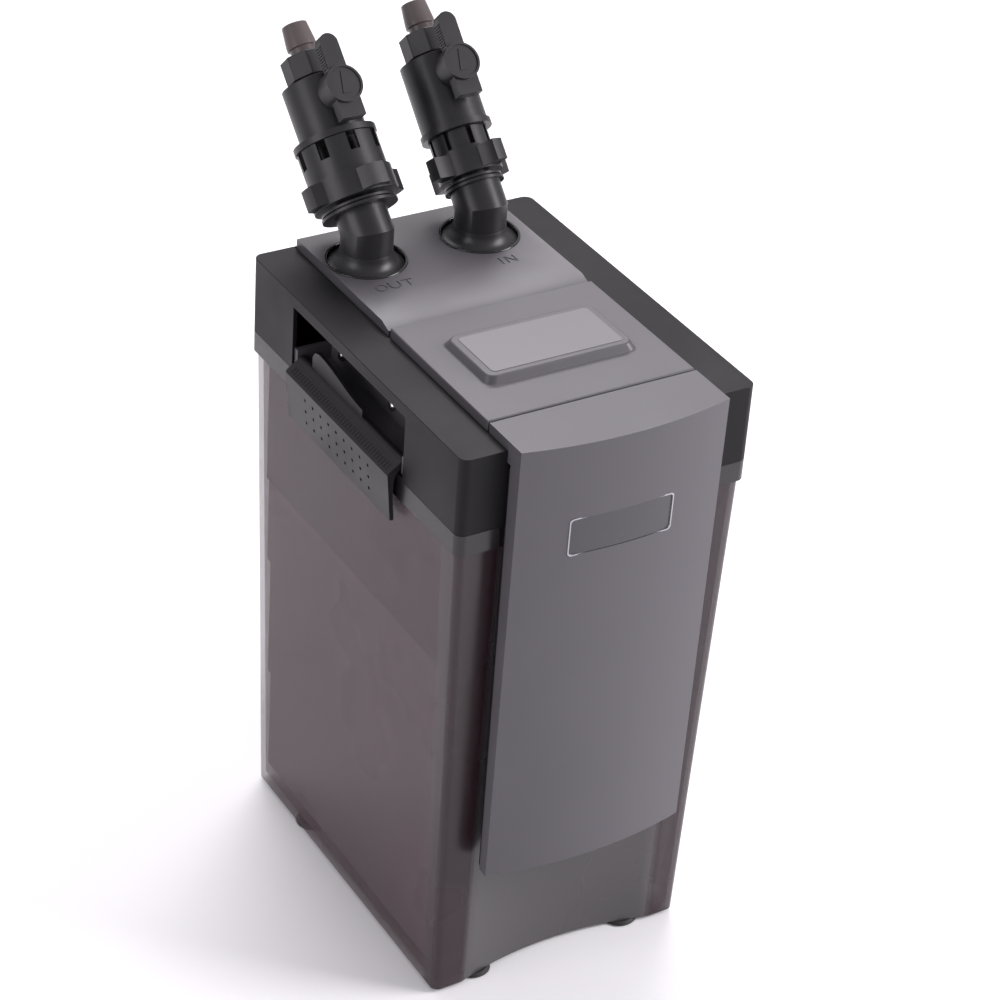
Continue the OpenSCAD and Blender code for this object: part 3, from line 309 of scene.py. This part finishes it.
def make_materials():
    made = {name: plastic(name, *finish[:-1], **finish[-1]) for name, finish in PLASTICS.items()}
    made["tank_smoke"] = tinted_tank("tank_smoke")
    made["sponge_blue"] = foam("sponge_blue", (0.006, 0.012, 0.022), (0.055, 0.10, 0.17),
                               420, 0.0009)
    made["pad_white"] = foam("pad_white", (0.50, 0.50, 0.48), (0.86, 0.86, 0.84),
                             260, 0.0008, True)
    return made


# ---------------------------------------------------------------- mesh helpers

def new_piece(name, mesh, body, material):
    piece = bpy.data.objects.new(name, mesh)
    scene.collection.objects.link(piece)
    piece.data.materials.clear()
    piece.data.materials.append(material)
    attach(piece, body)
    return piece


def mark_edges(mesh_data):
    for face in mesh_data.faces:
        face.smooth = True
    for edge in mesh_data.edges:
        if len(edge.link_faces) == 2:
            edge.smooth = edge.calc_face_angle(0) < SHARP_ANGLE
        else:
            edge.smooth = False


def rounded_copy(node, width, second=None, material=None):
    """The node's own shape with its sharp edges rounded off, in place of the node."""
    mesh_data = bmesh.new()
    mesh_data.from_mesh(frame["nodes"][node].data)
    bmesh.ops.remove_doubles(mesh_data, verts=mesh_data.verts, dist=WELD_GAP)
    bmesh.ops.dissolve_limit(mesh_data, angle_limit=FLAT_ANGLE,
                             verts=mesh_data.verts, edges=mesh_data.edges)
    mark_edges(mesh_data)
    if second:
        for face in mesh_data.faces:
            face.material_index = 1 if second[1](face.calc_center_median()) else 0
    mesh = bpy.data.meshes.new(node + "_round")
    mesh_data.to_mesh(mesh)
    mesh_data.free()
    slot = SLOT[node]
    piece = new_piece(node + "_round", mesh, BODY[node], MATERIALS[material or slot])
    if width:
        rounding = piece.modifiers.new("rounding", "BEVEL")
        rounding.width = width
        rounding.segments = ROUNDING_STEPS
        rounding.limit_method = "ANGLE"
        rounding.angle_limit = SHARP_ANGLE
        rounding.use_clamp_overlap = True
        rounding.miter_outer = "MITER_ARC"
        flatten = piece.modifiers.new("flatten", "WEIGHTED_NORMAL")
        flatten.keep_sharp = True
        flatten.weight = 100
    if second:
        piece.data.materials.append(MATERIALS[second[0]])
    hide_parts(node)
    return piece


def mesh_from(name, points, faces):
    mesh_data = bmesh.new()
    verts = [mesh_data.verts.new(point) for point in points]
    for face in faces:
        mesh_data.faces.new([verts[i] for i in face])
    bmesh.ops.recalc_face_normals(mesh_data, faces=mesh_data.faces)
    mark_edges(mesh_data)
    mesh = bpy.data.meshes.new(name)
    mesh_data.to_mesh(mesh)
    mesh_data.free()
    return mesh


def ridge_bars(place, bars):
    """Points and faces of many small bars, each given as centre, half sizes and a frame."""
    points, faces = [], []
    for centre, half, turn in bars:
        first = len(points)
        for sx in (-1, 1):
            for sy in (-1, 1):
                for sz in (-1, 1):
                    taper = BAR_TAPER if sz > 0 else 1.0
                    local = Vector((sx * half[0] * taper, sy * half[1], sz * half[2]))
                    points.append(place @ (Vector(centre) + turn @ local))
        for face in BAR_FACES:
            faces.append([first + i for i in face])
    return points, faces


def rounded_outline(width, height, radius, steps=6):
    points = []
    for sx, sy, start in ((1, 1, 0), (-1, 1, 90), (-1, -1, 180), (1, -1, 270)):
        for i in range(steps + 1):
            angle = math.radians(start + 90 * i / steps)
            points.append((sx * (width / 2 - radius) + radius * math.cos(angle),
                           sy * (height / 2 - radius) + radius * math.sin(angle)))
    return points


# ---------------------------------------------------------------- pieces

def body_of_nodes():
    found = {}
    for name, nodes in frame["record"]["behaviour"]["bodies"].items():
        for node in nodes:
            found[node] = name
    return found


def on_tab(centre):
    return centre.z > TAB_Z


# faces inside the engraved letters, which get the painted shade colour
def in_letter(centre):
    return LETTER_Z[0] < centre.z < LETTER_Z[1] and LETTER_Y[0] < centre.y < LETTER_Y[1]


add_camera()
add_studio()
MATERIALS = make_materials()
BODY = body_of_nodes()
SLOT = {part["node"]: part["material_slot"] for part in frame["record"]["subparts"]}

for node, obj in frame["nodes"].items():
    obj.data.materials.clear()
    obj.data.materials.append(MATERIALS[SLOT[node]])

ROUNDED = {
    "tank": 0.0008, "head_frame": 0.0014, "rear_deck": 0,
    "motor_cover": 0.0008, "front_cover": 0.0012,
    "cable_gland": 0.0006, "latch_lever_left": 0.0006, "latch_lever_right": 0.0006,
    "latch_bracket_left": 0.0005, "latch_bracket_right": 0.0005,
}
for side in ("out", "in"):
    ROUNDED["elbow_" + side] = 0.0004
    ROUNDED["coupling_nut_" + side] = 0.0006
    ROUNDED["valve_body_" + side] = 0.0010
    ROUNDED["valve_lever_" + side] = 0.0003
    ROUNDED["hose_nut_" + side] = 0.0007
    ROUNDED["hose_barb_" + side] = 0.0004
    ROUNDED["port_ring_" + side] = 0.0003
for node, width in ROUNDED.items():
    if node.startswith("latch_lever"):
        rounded_copy(node, width, second=("tab_grey", on_tab), material="lever_black")
    elif node == "rear_deck":
        # the engraved letter strokes get a dark colour that paints in their shade
        rounded_copy(node, width, second=("letter_painted_shade", in_letter))
    else:
        rounded_copy(node, width)
frame["nodes"]["flow_shroud"].data.materials[0] = MATERIALS["shroud_grey"]


# ---------------------------------------------------------------- added detail

def valve_frame(side):
    x, turn = PORTS[side]
    return (Matrix.Translation((x, PORT_Y, CREASE_Z))
            @ Matrix.Rotation(math.radians(turn), 4, "Z")
            @ Matrix.Rotation(math.radians(ELBOW_LEAN), 4, "X"))


def add_label_plate():
    outline = rounded_outline(*LABEL_SIZE)
    count = len(outline)
    low = [(x, LABEL_Y + y, LABEL_TOP - LABEL_SUNK) for x, y in outline]
    high = [(x, LABEL_Y + y, LABEL_TOP + LABEL_THICK) for x, y in outline]
    faces = [list(range(count - 1, -1, -1)), [count + i for i in range(count)]]
    faces += [[i, (i + 1) % count, count + (i + 1) % count, count + i] for i in range(count)]
    mesh = mesh_from("label_blank", low + high, faces)
    new_piece("label_blank", mesh, "head", MATERIALS["label"])


def add_lever_knurls(side):
    turn = Matrix(((0, 0, -1), (0, 1, 0), (1, 0, 0)))
    bars = []
    for i in range(KNURL_COUNT):
        centre = (-0.00625, -0.0311, KNURL_START + i * KNURL_PITCH)
        bars.append((centre, KNURL_SIZE, turn))
    mesh = mesh_from("lever_knurls_" + side, *ridge_bars(valve_frame(side), bars))
    new_piece("lever_knurls_" + side, mesh, "lever_" + side, MATERIALS["valve_grey"])


def add_lip_ribs(side):
    """Grip ribs across the sloping lip of a latch lever."""
    sign = -1 if side == "left" else 1
    near = Vector((HINGE_X + 0.0066, 0, HINGE_Z - 0.0003))
    far = Vector((HINGE_X + 0.0104, 0, HINGE_Z - 0.0031))
    middle = (near + far) / 2
    along = (far - near).normalized()
    up = Vector((-along.z, 0, along.x))
    half_size = (0.0005, (far - near).length / 2, 0.00025)
    turn = Matrix(((0, sign * along.x, sign * up.x), (1, 0, 0), (0, along.z, up.z)))
    bars = []
    for i in range(RIB_COUNT):
        y = LATCH_Y + (i - RIB_COUNT // 2) * RIB_PITCH
        bars.append(((sign * middle.x, y, middle.z), half_size, turn))
    mesh = mesh_from("lip_ribs_" + side, *ridge_bars(Matrix.Identity(4), bars))
    new_piece("lip_ribs_" + side, mesh, "latch_" + side, MATERIALS["lever_black"])


def add_badge_rim():
    """A thin raised rim that follows the bowed, leaning front panel round the blank badge."""
    radius = (PANEL_HALF ** 2 + PANEL_BOW ** 2) / (2 * PANEL_BOW)
    half_x, half_z = BADGE_HALF
    outline = rounded_outline(2 * half_x, 2 * half_z, BADGE_CORNER)
    points, faces = [], []
    for inset, proud in BADGE_SECTION:
        for x, z in outline:
            x = x * (1 - inset / half_x) + BADGE_X
            height = BADGE_Z + z * (1 - inset / half_z) - DECK_Z
            depth = radius - PANEL_BOW - math.sqrt(radius ** 2 - x ** 2) - proud
            points.append((x,
                           PANEL_Y + depth * math.cos(PANEL_LEAN) - height * math.sin(PANEL_LEAN),
                           DECK_Z + height * math.cos(PANEL_LEAN) + depth * math.sin(PANEL_LEAN)))
    count = len(outline)
    for ring in range(len(BADGE_SECTION)):
        low, high = ring * count, (ring + 1) % len(BADGE_SECTION) * count
        for i in range(count):
            j = (i + 1) % count
            faces.append([low + i, low + j, high + j, high + i])
    mesh = mesh_from("badge_rim", points, faces)
    new_piece("badge_rim", mesh, "head", MATERIALS["rim_metal"])


def soft_media(node, voxel, relief, grain):
    """Foam or fibre block with an uneven skin, in place of the plain solid."""
    piece = rounded_copy(node, 0)
    grid = piece.modifiers.new("grid", "REMESH")
    grid.mode = "VOXEL"
    grid.voxel_size = voxel
    clouds = bpy.data.textures.new(node + "_relief", "CLOUDS")
    clouds.noise_scale = grain
    skin = piece.modifiers.new("skin", "DISPLACE")
    skin.texture = clouds
    skin.texture_coords = "LOCAL"
    skin.strength = relief
    skin.mid_level = 1.0


add_label_plate()
add_badge_rim()
for side in ("out", "in"):
    add_lever_knurls(side)
for side in ("left", "right"):
    add_lip_ribs(side)
soft_media("coarse_sponge", 0.0035, 0.0022, 0.008)
soft_media("fine_pad", 0.0035, 0.0030, 0.012)

floor_mesh = bpy.data.meshes.new("floor")
corners = [(sx * FLOOR_HALF, sy * FLOOR_HALF, 0) for sx, sy in ((-1, -1), (1, -1), (1, 1), (-1, 1))]
floor_mesh.from_pydata(corners, [], [(0, 1, 2, 3)])
floor = bpy.data.objects.new("floor", floor_mesh)
floor.data.materials.append(MATERIALS["floor"])
scene.collection.objects.link(floor)

bpy.context.view_layer.update()
